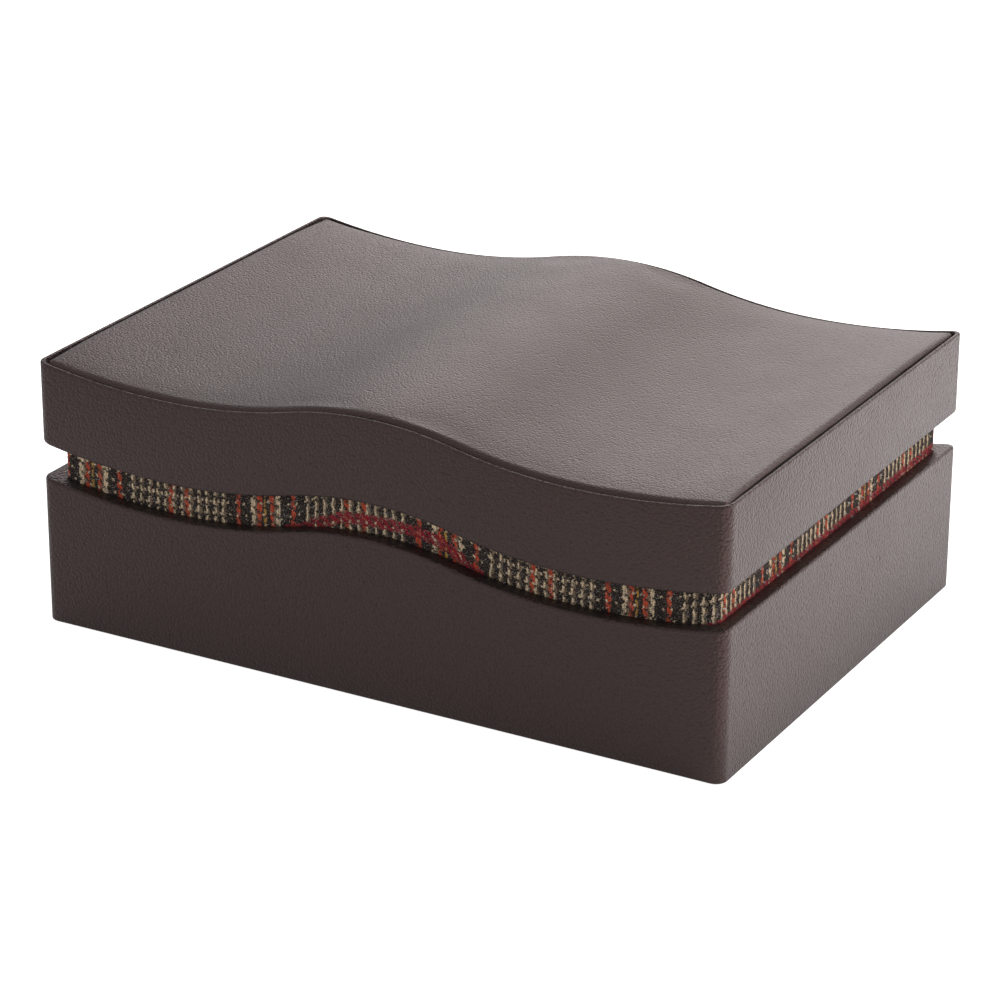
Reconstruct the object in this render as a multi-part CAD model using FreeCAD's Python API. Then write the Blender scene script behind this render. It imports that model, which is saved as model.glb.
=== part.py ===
"""A leather cufflink box with a wavy hinged lid, a tweed-covered neck and a side drawer.

Millimetres. X runs along the length, Y from front (-) to back (+), Z up.
The origin is on the table, under the middle of the box.
The drawer opens through the left end (-X) and the lid turns on two hinges at the back (+Y).
"""
import FreeCAD, Part
import math
import os
from FreeCAD import Vector

os.makedirs("parts", exist_ok=True)

# ------------------------------------------------------------------ driving sizes
# Overall footprint, the same for the lid and the base.
length = 220.0
width = 156.0
corner_radius = 3.0
neck_corner_radius = 2.2

# The wave: arcs that run into each other smoothly, over the middle crest, down into a trough
# on each side and up again to the ends.
wave_depth = 7.5
wave_trough_from_end = 45.0
wave_crest_radius = 115.0
wave_end_radius = 230.0

# Heights that follow the wave, the first of them at the troughs.
rim_above_deck = 7.6
lid_side_height = 25.0
reveal_gap = 10.5
neck_engagement = 5.5

# Sheets and boards.
leather = 0.8
tweed = 0.8
suede = 0.8
felt = 1.0
base_board = 3.4
bottom_board = 3.0
deck_board = 3.0
neck_board = 3.0
lid_top_board = 3.0
drawer_board = 3.0
drawer_front_board = 4.2
drawer_bottom_board = 2.0
divider = 3.0

# How much is taken off the edges that the leather lies over.
base_rim_bevel = 1.0
base_foot_bevel = 0.5
lid_lower_bevel = 0.8
lip_bevel = 0.4
pad_bevel = 1.2

# Lid top: a thin lip, a groove, and a padded panel inside it that stands a little proud.
lip = 1.1
groove = 0.8
groove_depth = 1.5
pad_rise = 0.4
flange = 6.0

# Leather turned under the base and into the mouth of the drawer bay.
turn_under = 12.0
mouth_turn_in = 12.0
felt_reveal = 0.5
tweed_turn_in = 8.0

# Drawer.
drawer_front_height = 24.25
drawer_travel = 150.0
drawer_rear_space = 2.0
drawer_side_drop = 1.4
drawer_divider_height = 16.0
thumb_notch_radius = 10.0
thumb_notch_lip = 0.6
drawer_edge_bevel = 0.6
runner = 0.8
runner_width = 8.0
stop_strip_width = 6.0
stop_strip_length = 60.0
bumper_radius = 4.0
bumper_y = 50.0

# Tray under the lid.
roll_count = 5
roll_pitch = 16.5
roll_height = 16.0
tray_divider_height = 17.7

# Hinges.
hinge_width = 26.0
pin_radius = 0.8
screw_shank_radius = 0.7
screw_head_radius = 1.4
screw_head_height = 0.4
screw_sides = 8
screw_length = 2.8
screw_spread = 8.0
hinge_foot_height = 0.5

# Clearances.
neck_clearance = 1.0
seat_clearance = 0.3
mouth_clearance = 0.5
runner_clearance = 0.15
stop_clearance = 0.3
pin_clearance = 0.03
knuckle_gap = 0.2
knuckle_clearance = 0.4
leaf_clearance = 0.1
roll_clearance = 0.1

# ------------------------------------------------------------------ sizes that follow
half_length = length / 2
half_width = width / 2
wave_trough_x = half_length - wave_trough_from_end
past = 5.0  # how far cutting tools run past what they cut

# Insets from the outer faces, from outside to inside.
neck_inset = leather + base_board + leather
neck_board_inset = neck_inset + tweed
neck_inner_inset = neck_board_inset + neck_board
tray_inset = neck_inner_inset + suede
base_board_inner_inset = leather + base_board
lid_wall = neck_inset - neck_clearance
lid_board_inner_inset = lid_wall - leather

# Lifts of the wave, all measured down from the lip.
groove_floor = -groove_depth
lid_board_top = groove_floor - leather
lid_board_underside = lid_board_top - lid_top_board
lid_edge = -lid_side_height
lid_board_edge = lid_edge + leather
neck_top = lid_edge + neck_engagement
neck_board_top = neck_top - tweed
tweed_turned_edge = neck_top - tweed_turn_in
cushion_underside = neck_top + seat_clearance
base_rim = lid_edge - reveal_gap
base_board_rim = base_rim - leather

# Levels in the base, from the table up.
leather_low = felt - leather
bay_floor = felt + bottom_board
drawer_low = bay_floor + runner + runner_clearance
drawer_high = drawer_low + drawer_front_height
mouth_high = drawer_high + mouth_clearance
deck_low = mouth_high + leather
deck_high = deck_low + deck_board
tray_floor = deck_high + suede

# The wave at the top of the lid's lip, and its arcs.
wave_low = deck_high + rim_above_deck + reveal_gap + lid_side_height
wave_high = wave_low + wave_depth
arc_sum = (wave_trough_x ** 2 + wave_depth ** 2) / (2 * wave_depth)
wave_trough_radius = arc_sum - wave_crest_radius
wave_turn_x = wave_trough_x * wave_crest_radius / arc_sum

# The drawer's sizes.
drawer_half_width = half_width - neck_inset - mouth_clearance
drawer_inner_half_width = drawer_half_width - drawer_board
drawer_front_back_x = -half_length + leather + drawer_front_board
bay_end_x = half_length - base_board_inner_inset
drawer_back_x = bay_end_x - drawer_rear_space
drawer_back_inner_x = drawer_back_x - drawer_board
drawer_floor = drawer_low + drawer_bottom_board
drawer_side_high = drawer_high - drawer_side_drop
drawer_back_high = deck_low - mouth_clearance
stop_strip_low = drawer_side_high + mouth_clearance
stop_strip_x = drawer_back_inner_x - drawer_travel - stop_clearance

# The hinge line.
hinge_leaf = leather
knuckle_radius = pin_radius + pin_clearance + hinge_leaf
hinge_y = half_width - neck_inset + knuckle_clearance + knuckle_radius
hinge_centres = [-wave_trough_x, wave_trough_x]
base_leaf_low = deck_high + hinge_foot_height


# ------------------------------------------------------------------ shapes shared by the pieces
def box(x_low, x_high, y_low, y_high, z_low, z_high):
    """A plain block between two corners."""
    corner = Vector(x_low, y_low, z_low)
    return Part.makeBox(x_high - x_low, y_high - y_low, z_high - z_low, corner)


def prism(inset, z_low, z_high, radius=None):
    """The box outline, moved inwards, with its upright corners rounded."""
    if radius is None:
        radius = corner_radius - inset
    x = half_length - inset
    y = half_width - inset
    block = box(-x, x, -y, y, z_low, z_high)
    if radius <= 0.05:
        return block
    upright = [edge for edge in block.Edges if abs(edge.tangentAt(edge.FirstParameter).z) > 0.9]
    return block.makeFillet(radius, upright)


def wave_height(x, lift=0):
    """How high the wave is at one place, at one lift from the lid's lip."""
    across = abs(x)
    if across < wave_turn_x:
        height = wave_high - wave_crest_radius + math.sqrt(wave_crest_radius ** 2 - across ** 2)
    else:
        radius = wave_trough_radius if across < wave_trough_x else wave_end_radius
        height = wave_low + radius - math.sqrt(radius ** 2 - (across - wave_trough_x) ** 2)
    return height + lift


def wave_edges(lift):
    """The arcs of the wave from left to right in front of the box, a little longer than the box."""
    run_out = half_length + past
    stops = [-run_out, -wave_trough_x, -wave_turn_x, wave_turn_x, wave_trough_x, run_out]
    edges = []
    for start, end in zip(stops, stops[1:]):
        places = [start, (start + end) / 2, end]
        points = [Vector(x, -half_width - past, wave_height(x, lift)) for x in places]
        edges.append(Part.Arc(*points).toShape())
    return edges


def wave_solid(upper, lower):
    """A block across the whole width between two chains of edges."""
    left = Part.makeLine(lower[0].firstVertex(True).Point, upper[0].firstVertex(True).Point)
    right = Part.makeLine(upper[-1].lastVertex(True).Point, lower[-1].lastVertex(True).Point)
    outline = Part.Wire(Part.__sortEdges__(upper + [right] + lower + [left]))
    return Part.Face(outline).extrude(Vector(0, width + 2 * past, 0))


def wave_band(high_lift, low_lift):
    """A block between two lifts of the wave."""
    return wave_solid(wave_edges(high_lift), wave_edges(low_lift))


def wave_block(high_lift, z_low):
    """A block with a flat underside and the wave on top."""
    y = -half_width - past
    left = Vector(-half_length - past, y, z_low)
    right = Vector(half_length + past, y, z_low)
    return wave_solid(wave_edges(high_lift), [Part.makeLine(left, right)])


def bevelled(solid, size, chosen):
    """The solid with the chosen edges taken off at an angle."""
    edges = [edge for edge in solid.Edges if chosen(edge)]
    return solid.makeChamfer(size, edges)


def lies_on(surface_solid, tolerance=0.001):
    """A test for edges that lie on the skin of a given solid."""
    skin = Part.Compound(surface_solid.Faces)

    def chosen(edge):
        first, last = edge.FirstParameter, edge.LastParameter
        places = [first + (last - first) * share for share in (0.1, 0.5, 0.9)]
        vertices = [Part.Vertex(edge.valueAt(place)) for place in places]
        return all(vertex.distToShape(skin)[0] < tolerance for vertex in vertices)
    return chosen


def at_wave(lift):
    """A test for edges that run along the wave at one lift."""
    return lies_on(Part.Wire(wave_edges(lift)).extrude(Vector(0, width + 2 * past, 0)))


def cylinder(radius, start, end):
    """A round bar between two points."""
    axis = end - start
    return Part.makeCylinder(radius, axis.Length, start, axis)


def peg(radius, start, reach):
    """A small bar with flat sides, driven outwards from a point."""
    turns = [2 * math.pi * corner / screw_sides for corner in range(screw_sides + 1)]
    corners = [start + Vector(radius * math.cos(turn), 0, radius * math.sin(turn)) for turn in turns]
    return Part.Face(Part.makePolygon(corners)).extrude(Vector(0, reach, 0))


def screw(x, y, z):
    """A flat-headed screw driven outwards, its head let into the leaf and flush with the face at y."""
    start = Vector(x, y, z)
    head = peg(screw_head_radius, start, screw_head_height)
    return head.fuse(peg(screw_shank_radius, start, screw_length)).removeSplitter()


def screws_of(centre, y, z):
    """The two screws of one hinge leaf."""
    return [screw(centre - screw_spread, y, z), screw(centre + screw_spread, y, z)]


def save(name, shape):
    """Write one piece and say how large it is."""
    if not shape.isValid():
        raise ValueError(name + " is not a valid solid")
    shape.exportStep("parts/" + name + ".step")
    bounds = shape.BoundBox
    print("%-28s %d solid(s) %9.1f mm3  x %.1f..%.1f y %.1f..%.1f z %.1f..%.1f" % (
        name, len(shape.Solids), shape.Volume, bounds.XMin, bounds.XMax,
        bounds.YMin, bounds.YMax, bounds.ZMin, bounds.ZMax))


def solid_of(shape):
    """The single solid of a boolean result, or the shape as it is when it has several."""
    if len(shape.Solids) == 1:
        return shape.Solids[0]
    return shape


# ------------------------------------------------------------------ hinges
# They sit over the troughs, where the wave is level, halfway up the gap.
hinge_z = wave_low + base_rim + reveal_gap / 2
lid_leaf_high = wave_low + cushion_underside - seat_clearance
base_screw_z = (base_leaf_low + wave_low + base_rim) / 2
base_leaf_y = half_width - neck_inset
lid_leaf_y = half_width - lid_wall
lid_screw_z = (wave_low + lid_edge + lid_leaf_high) / 2
middle_knuckle = hinge_width / 6 - knuckle_gap / 2


def knuckle(centre, low, high):
    """One rolled knuckle of a hinge leaf, between two places along the hinge line."""
    start = Vector(centre + low, hinge_y, hinge_z)
    return cylinder(knuckle_radius, start, start + Vector(high - low, 0, 0))


def pin_hole(centre):
    """The bore for the pin through all the knuckles."""
    reach = hinge_width / 2 + past
    start = Vector(centre - reach, hinge_y, hinge_z)
    return cylinder(pin_radius + pin_clearance, start, start + Vector(2 * reach, 0, 0))


def base_hinge_leaf(centre):
    """The lower leaf: it stands between the base wall and the neck and carries the outer knuckles."""
    half = hinge_width / 2
    plate = box(centre - half, centre + half, base_leaf_y, base_leaf_y + hinge_leaf, base_leaf_low, hinge_z)
    inner = middle_knuckle + knuckle_gap
    window_low = hinge_z - knuckle_radius - knuckle_gap
    window = box(centre - inner, centre + inner, base_leaf_y - past, hinge_y, window_low, hinge_z + past)
    leaf = plate.cut(window)
    leaf = leaf.fuse([knuckle(centre, -half, -inner), knuckle(centre, inner, half)])
    holes = screws_of(centre, base_leaf_y, base_screw_z)
    return solid_of(leaf.cut([pin_hole(centre)] + holes).removeSplitter())


def lid_hinge_leaf(centre):
    """The upper leaf: it is let into the inside of the lid's back wall and carries the middle knuckle."""
    half = hinge_width / 2
    plate_low = hinge_z + knuckle_radius + knuckle_gap
    plate = box(centre - half, centre + half, lid_leaf_y, lid_leaf_y + hinge_leaf, plate_low, lid_leaf_high)
    stem = box(centre - middle_knuckle, centre + middle_knuckle,
               lid_leaf_y, lid_leaf_y + hinge_leaf, hinge_z, plate_low)
    leaf = plate.fuse([stem, knuckle(centre, -middle_knuckle, middle_knuckle)])
    holes = screws_of(centre, lid_leaf_y, lid_screw_z)
    return solid_of(leaf.cut([pin_hole(centre)] + holes).removeSplitter())


def hinge_pin(centre):
    """The pin, as long as the hinge."""
    start = Vector(centre - hinge_width / 2, hinge_y, hinge_z)
    return cylinder(pin_radius, start, start + Vector(hinge_width, 0, 0))


def leaf_recess(centre, leaf_y, z_low, z_high):
    """The place cut out of the leather for one hinge leaf."""
    half = hinge_width / 2 + leaf_clearance
    return box(centre - half, centre + half, leaf_y, leaf_y + hinge_leaf, z_low, z_high)


def base_screws():
    """The screws of both lower leaves."""
    left, right = [screws_of(centre, base_leaf_y, base_screw_z) for centre in hinge_centres]
    return Part.Compound(left + right)


def lid_screws():
    """The screws of both upper leaves."""
    left, right = [screws_of(centre, lid_leaf_y, lid_screw_z) for centre in hinge_centres]
    return Part.Compound(left + right)


# ------------------------------------------------------------------ base
def base_wall_ring():
    """All four walls of the base as one ring of board, cut to the wave on top."""
    outside = prism(leather, bay_floor, wave_high)
    inside = prism(base_board_inner_inset, bay_floor - past, wave_high + past, 0)
    return outside.cut(inside).common(wave_block(base_board_rim, 0))


def base_long_board(side):
    """The front (-1) or back (+1) wall of the base, as long as the box."""
    inner = half_width - base_board_inner_inset
    edges = sorted([side * inner, side * (half_width + past)])
    cutter = box(-half_length, half_length, edges[0], edges[1], 0, wave_high)
    board = base_wall_ring().common(cutter)
    if side > 0:
        board = board.cut(base_screws())
    return solid_of(board)


def base_right_board():
    """The right end wall of the base, between the long walls."""
    inner = half_width - base_board_inner_inset
    cutter = box(bay_end_x, half_length, -inner, inner, 0, wave_high)
    return solid_of(base_wall_ring().common(cutter))


def base_left_header():
    """The left end wall, which stands only above the drawer."""
    inner = half_width - base_board_inner_inset
    cutter = box(-half_length, -bay_end_x, -inner, inner, deck_high, wave_high)
    return solid_of(base_wall_ring().common(cutter))


def base_bottom():
    """The bottom board, under all the walls."""
    return prism(leather, felt, bay_floor)


def base_felt_pad():
    """The felt that the box stands on, inside the turned-under leather."""
    return prism(turn_under + felt_reveal, 0, felt, corner_radius)


def deck():
    """The board between the drawer and the tray; it runs to the leather at the left end."""
    inner = half_width - base_board_inner_inset
    return box(-half_length + leather, bay_end_x, -inner, inner, deck_low, deck_high)


def drawer_mouth():
    """The hole through the left end, as wide as the neck and as high as the drawer's front."""
    mouth_y = half_width - neck_inset
    x_high = -half_length + mouth_turn_in + past
    return box(-half_length - past, x_high, -mouth_y, mouth_y, bay_floor, mouth_high)


def base_leather_wrap():
    """One cover of leather: outside the walls, over the rim, under the bottom and into the mouth."""
    outside = prism(0, leather_low, wave_high).common(wave_block(base_rim, 0))
    outside_skin = prism(0, -past, wave_high + past)
    rim = at_wave(base_rim)
    outer = lies_on(outside_skin)
    outside = bevelled(outside, base_rim_bevel, lambda edge: rim(edge) and outer(edge))
    outside = bevelled(outside, base_foot_bevel, lambda edge: edge.BoundBox.ZMax < leather_low + 0.01)
    inner = half_width - base_board_inner_inset
    under_header = box(-half_length + leather, -bay_end_x, -inner, inner, bay_floor, deck_high)
    inside_low = box(-bay_end_x, bay_end_x, -inner, inner, bay_floor, deck_high)
    well = prism(neck_inset, deck_high, wave_high + past, 0)
    bottom_opening = prism(turn_under, 0, felt, 0)
    cavity = base_wall_ring().fuse([base_bottom(), under_header, inside_low, well, bottom_opening])
    wrap = outside.cut(cavity)
    mouth_end = -half_length + mouth_turn_in
    mouth_lining = box(-half_length + leather, mouth_end, -inner, inner, bay_floor, deck_low)
    wrap = wrap.fuse(mouth_lining).cut(drawer_mouth())
    recess_low = base_leaf_low - leaf_clearance
    for centre in hinge_centres:
        wrap = wrap.cut(leaf_recess(centre, base_leaf_y, recess_low, wave_high))
    return solid_of(wrap.removeSplitter())


# ------------------------------------------------------------------ neck
def neck_ring(outer_inset, inner_inset, high_lift):
    """An upright ring that stands on the deck and is cut to the wave on top."""
    radius = neck_corner_radius - (outer_inset - neck_inset)
    outside = prism(outer_inset, deck_high, wave_high, radius)
    inside = prism(inner_inset, deck_high - past, wave_high + past, 0)
    return outside.cut(inside).common(wave_block(high_lift, 0))


def neck_long_board(side):
    """The front (-1) or back (+1) board of the neck."""
    inner = half_width - neck_inner_inset
    edges = sorted([side * inner, side * half_width])
    cutter = box(-half_length, half_length, edges[0], edges[1], 0, wave_high)
    return solid_of(neck_ring(neck_board_inset, neck_inner_inset, neck_board_top).common(cutter))


def neck_end_board(side):
    """The left (-1) or right (+1) board of the neck, between the long ones."""
    inner_x = half_length - neck_inner_inset
    inner_y = half_width - neck_inner_inset
    edges = sorted([side * inner_x, side * half_length])
    cutter = box(edges[0], edges[1], -inner_y, inner_y, 0, wave_high)
    return solid_of(neck_ring(neck_board_inset, neck_inner_inset, neck_board_top).common(cutter))


def neck_tweed_band():
    """The tweed: down the outside of the neck, over its top edge and a little way down inside."""
    band = neck_ring(neck_inset, tray_inset, neck_top)
    outside = prism(neck_board_inset, deck_high - past, wave_high + past, neck_corner_radius - tweed)
    inside = prism(neck_inner_inset, deck_high - 2 * past, wave_high + 2 * past, 0)
    boards = outside.cut(inside).common(wave_block(neck_board_top, 0))
    below_turned_edge = prism(neck_inner_inset, deck_high - past, wave_high, 0)
    below_turned_edge = below_turned_edge.common(wave_block(tweed_turned_edge, 0))
    return solid_of(band.cut([boards, below_turned_edge]).removeSplitter())


def neck_lining():
    """The suede that lines the tray's walls up to the turned edge of the tweed."""
    outside = prism(neck_inner_inset, deck_high, wave_high, 0)
    inside = prism(tray_inset, deck_high - past, wave_high + past, 0)
    return solid_of(outside.cut(inside).common(wave_block(tweed_turned_edge, 0)))


# ------------------------------------------------------------------ tray
tray_x = half_length - tray_inset
tray_y = half_width - tray_inset
rolls_back_y = -tray_y + roll_count * roll_pitch
rear_bay_y = rolls_back_y + divider
tray_divider_high = tray_floor + tray_divider_height
rear_bay_length = (2 * tray_x - 2 * divider) / 3


def tray_floor_lining():
    """The suede sheet on the deck."""
    return box(-tray_x, tray_x, -tray_y, tray_y, deck_high, tray_floor)


def cufflink_roll(index):
    """One padded roll: a straight body with a half-round top. Links are pushed in between rolls."""
    y_low = -tray_y + index * roll_pitch + roll_clearance
    y_high = y_low + roll_pitch - 2 * roll_clearance
    radius = (y_high - y_low) / 2
    shoulder = tray_floor + roll_height - radius
    x = -tray_x + roll_clearance
    front_low = Vector(x, y_low, tray_floor)
    front_high = Vector(x, y_low, shoulder)
    crown = Vector(x, y_low + radius, shoulder + radius)
    back_high = Vector(x, y_high, shoulder)
    back_low = Vector(x, y_high, tray_floor)
    outline = Part.Wire([
        Part.makeLine(back_low, front_low),
        Part.makeLine(front_low, front_high),
        Part.Arc(front_high, crown, back_high).toShape(),
        Part.makeLine(back_high, back_low),
    ])
    return Part.Face(outline).extrude(Vector(2 * (tray_x - roll_clearance), 0, 0))


def tray_long_divider():
    """The wall between the rolls and the open compartments behind them."""
    return box(-tray_x, tray_x, rolls_back_y, rear_bay_y, tray_floor, tray_divider_high)


def tray_short_divider(side):
    """One of the two walls that part the three open compartments."""
    centre = side * (rear_bay_length + divider) / 2
    x_low = centre - divider / 2
    return box(x_low, x_low + divider, rear_bay_y, tray_y, tray_floor, tray_divider_high)


# ------------------------------------------------------------------ lid
def lid_wall_ring():
    """All four walls of the lid as one ring of board, cut to the wave on both edges."""
    outside = prism(leather, 0, wave_high)
    inside = prism(lid_board_inner_inset, -past, wave_high + past, 0)
    return outside.cut(inside).common(wave_band(lid_board_top, lid_board_edge))


def lid_long_board(side):
    """The front (-1) or back (+1) wall of the lid, as long as the box."""
    inner = half_width - lid_board_inner_inset
    edges = sorted([side * inner, side * (half_width + past)])
    cutter = box(-half_length, half_length, edges[0], edges[1], 0, wave_high)
    board = lid_wall_ring().common(cutter)
    if side > 0:
        board = board.cut(lid_screws())
    return solid_of(board)


def lid_end_board(side):
    """The left (-1) or right (+1) wall of the lid, between the long ones."""
    inner_x = half_length - lid_board_inner_inset
    inner_y = half_width - lid_board_inner_inset
    edges = sorted([side * inner_x, side * half_length])
    cutter = box(edges[0], edges[1], -inner_y, inner_y, 0, wave_high)
    return solid_of(lid_wall_ring().common(cutter))


def lid_top():
    """The wavy board that closes the lid, between its walls."""
    return solid_of(prism(lid_board_inner_inset, 0, wave_high, 0).common(
        wave_band(lid_board_top, lid_board_underside)))


def lid_side_wrap():
    """The leather round the lid: the lip, the groove floor, the walls and the turned lower edge."""
    outside = prism(0, 0, wave_high + past).common(wave_band(0, lid_edge))
    outer = lies_on(prism(0, -past, wave_high + 2 * past))
    lower = at_wave(lid_edge)
    upper = at_wave(0)
    outside = bevelled(outside, lid_lower_bevel, lambda edge: lower(edge) and outer(edge))
    outside = bevelled(outside, lip_bevel, lambda edge: upper(edge) and outer(edge))
    top_and_cushion = prism(lid_board_inner_inset, 0, wave_high, 0).common(
        wave_band(lid_board_top, cushion_underside))
    well = prism(lid_wall, 0, wave_high, 0).common(wave_band(cushion_underside, lid_edge - past))
    groove_and_pad = prism(lip, 0, wave_high + past).common(wave_band(past, groove_floor))
    pad_opening = prism(flange, 0, wave_high, 0).common(wave_band(groove_floor, lid_board_top))
    wrap = outside.cut([lid_wall_ring(), top_and_cushion, well, groove_and_pad, pad_opening])
    recess_high = lid_leaf_high + leaf_clearance
    for centre in hinge_centres:
        wrap = wrap.cut(leaf_recess(centre, lid_leaf_y, 0, recess_high))
    return solid_of(wrap.removeSplitter())


def lid_top_pad():
    """The padded leather panel, a little higher than the lip, its edge falling into the groove."""
    inset = lip + groove
    panel = prism(inset, 0, wave_high + past, corner_radius - lip).common(wave_band(pad_rise, groove_floor))
    outer = lies_on(prism(inset, -past, wave_high + 2 * past, corner_radius - lip))
    upper = at_wave(pad_rise)
    panel = bevelled(panel, pad_bevel, lambda edge: upper(edge) and outer(edge))
    root = prism(flange, 0, wave_high, 0).common(wave_band(groove_floor, lid_board_top))
    return solid_of(panel.fuse(root).removeSplitter())


def lid_cushion():
    """The padded lining inside the lid, which comes to rest on the neck."""
    return solid_of(prism(lid_board_inner_inset, 0, wave_high, 0).common(
        wave_band(lid_board_underside, cushion_underside)))


# ------------------------------------------------------------------ drawer
def drawer_front_shape(inset, x_low):
    """The drawer's front with a half-round thumb notch in its top edge, moved inwards by an inset."""
    y = drawer_half_width - inset
    front = box(x_low, drawer_front_back_x, -y, y, drawer_low + inset, drawer_high - inset)
    start = Vector(x_low - past, 0, drawer_high - thumb_notch_lip)
    notch = cylinder(thumb_notch_radius + inset, start, start + Vector(drawer_front_board + 3 * past, 0, 0))
    return front.cut(notch)


def drawer_front():
    """The board of the drawer's front."""
    return solid_of(drawer_front_shape(leather, -half_length + leather))


def drawer_front_wrap():
    """The leather over the face and the edges of the drawer's front."""
    cover = drawer_front_shape(0, -half_length)
    cover = bevelled(cover, drawer_edge_bevel, lambda edge: edge.BoundBox.XMax < -half_length + 0.01)
    return solid_of(cover.cut(drawer_front()))


def drawer_bottom():
    """The drawer's bottom, under its sides and back."""
    y = drawer_half_width
    return box(drawer_front_back_x, drawer_back_x, -y, y, drawer_low, drawer_floor)


def drawer_side(side):
    """The front (-1) or back (+1) side of the drawer."""
    edges = sorted([side * drawer_inner_half_width, side * drawer_half_width])
    return box(drawer_front_back_x, drawer_back_x, edges[0], edges[1], drawer_floor, drawer_side_high)


def drawer_back():
    """The drawer's back; it is higher than the sides, so that it meets the stop."""
    inner = drawer_inner_half_width
    return box(drawer_back_inner_x, drawer_back_x, -inner, inner, drawer_floor, drawer_back_high)


def drawer_floor_lining():
    """The suede on the drawer's bottom."""
    inner = drawer_inner_half_width
    return box(drawer_front_back_x, drawer_back_inner_x, -inner, inner, drawer_floor, drawer_floor + suede)


def drawer_divider(side):
    """One of the two walls across the drawer."""
    inner = drawer_inner_half_width
    middle = (drawer_front_back_x + drawer_back_inner_x) / 2
    bay = (drawer_back_inner_x - drawer_front_back_x - 2 * divider) / 3
    centre = middle + side * (bay + divider) / 2
    low = drawer_floor + suede
    return box(centre - divider / 2, centre + divider / 2, -inner, inner, low, low + drawer_divider_height)


def drawer_runner(side):
    """A thin slippery strip on the bottom board, under one side of the drawer."""
    outer = drawer_half_width
    edges = sorted([side * (outer - runner_width), side * outer])
    x_low = -half_length + leather
    return box(x_low, bay_end_x, edges[0], edges[1], bay_floor, bay_floor + runner)


def drawer_stop_strip():
    """A strip under the deck that catches the drawer's back when the drawer is fully out."""
    half = stop_strip_length / 2
    return box(stop_strip_x - stop_strip_width, stop_strip_x, -half, half, stop_strip_low, deck_low)


def drawer_bumpers():
    """Two felt dots on the right wall, which the closed drawer comes up to."""
    height = (drawer_floor + drawer_back_high) / 2
    start_x = drawer_back_x + stop_clearance
    dots = []
    for side in (-1, 1):
        start = Vector(start_x, side * bumper_y, height)
        dots.append(cylinder(bumper_radius, start, Vector(bay_end_x, side * bumper_y, height)))
    return Part.Compound(dots)


# ------------------------------------------------------------------ write every piece
save("base_felt_pad", base_felt_pad())
save("base_bottom_board", base_bottom())
save("base_front_board", base_long_board(-1))
save("base_back_board", base_long_board(1))
save("base_right_board", base_right_board())
save("base_left_header", base_left_header())
save("base_leather_wrap", base_leather_wrap())
save("deck_board", deck())

save("neck_front_board", neck_long_board(-1))
save("neck_back_board", neck_long_board(1))
save("neck_left_board", neck_end_board(-1))
save("neck_right_board", neck_end_board(1))
save("neck_tweed_band", neck_tweed_band())
save("neck_lining", neck_lining())

save("tray_floor_lining", tray_floor_lining())
for index in range(roll_count):
    save("cufflink_roll_%d" % (index + 1), cufflink_roll(index))
save("tray_long_divider", tray_long_divider())
save("tray_short_divider_left", tray_short_divider(-1))
save("tray_short_divider_right", tray_short_divider(1))

save("drawer_runner_front", drawer_runner(-1))
save("drawer_runner_back", drawer_runner(1))
save("drawer_stop_strip", drawer_stop_strip())
save("drawer_bumpers", drawer_bumpers())

save("base_hinge_leaf_left", base_hinge_leaf(hinge_centres[0]))
save("base_hinge_leaf_right", base_hinge_leaf(hinge_centres[1]))
save("hinge_pin_left", hinge_pin(hinge_centres[0]))
save("hinge_pin_right", hinge_pin(hinge_centres[1]))
save("base_hinge_screws", base_screws())

save("lid_hinge_leaf_left", lid_hinge_leaf(hinge_centres[0]))
save("lid_hinge_leaf_right", lid_hinge_leaf(hinge_centres[1]))
save("lid_hinge_screws", lid_screws())
save("lid_front_board", lid_long_board(-1))
save("lid_back_board", lid_long_board(1))
save("lid_left_board", lid_end_board(-1))
save("lid_right_board", lid_end_board(1))
save("lid_top_board", lid_top())
save("lid_side_wrap", lid_side_wrap())
save("lid_top_pad", lid_top_pad())
save("lid_cushion", lid_cushion())

save("drawer_front_board", drawer_front())
save("drawer_front_wrap", drawer_front_wrap())
save("drawer_bottom_board", drawer_bottom())
save("drawer_side_front", drawer_side(-1))
save("drawer_side_back", drawer_side(1))
save("drawer_back_board", drawer_back())
save("drawer_floor_lining", drawer_floor_lining())
save("drawer_divider_left", drawer_divider(-1))
save("drawer_divider_right", drawer_divider(1))
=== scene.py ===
# %% [markdown]
# # Dressing a leather cufflink box
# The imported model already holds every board, cover, hinge and screw of the box in its true
# place. This lesson loads it as a fixed frame and then works as the leather workshop does: it
# chooses the finishes, lays the pieces that can be seen over the boards, and pads what is soft.
# Everything is in metres, and Z is up.

# %% Load the frame
import bmesh
import bpy
import math
from mathutils import Matrix, Vector


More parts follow.
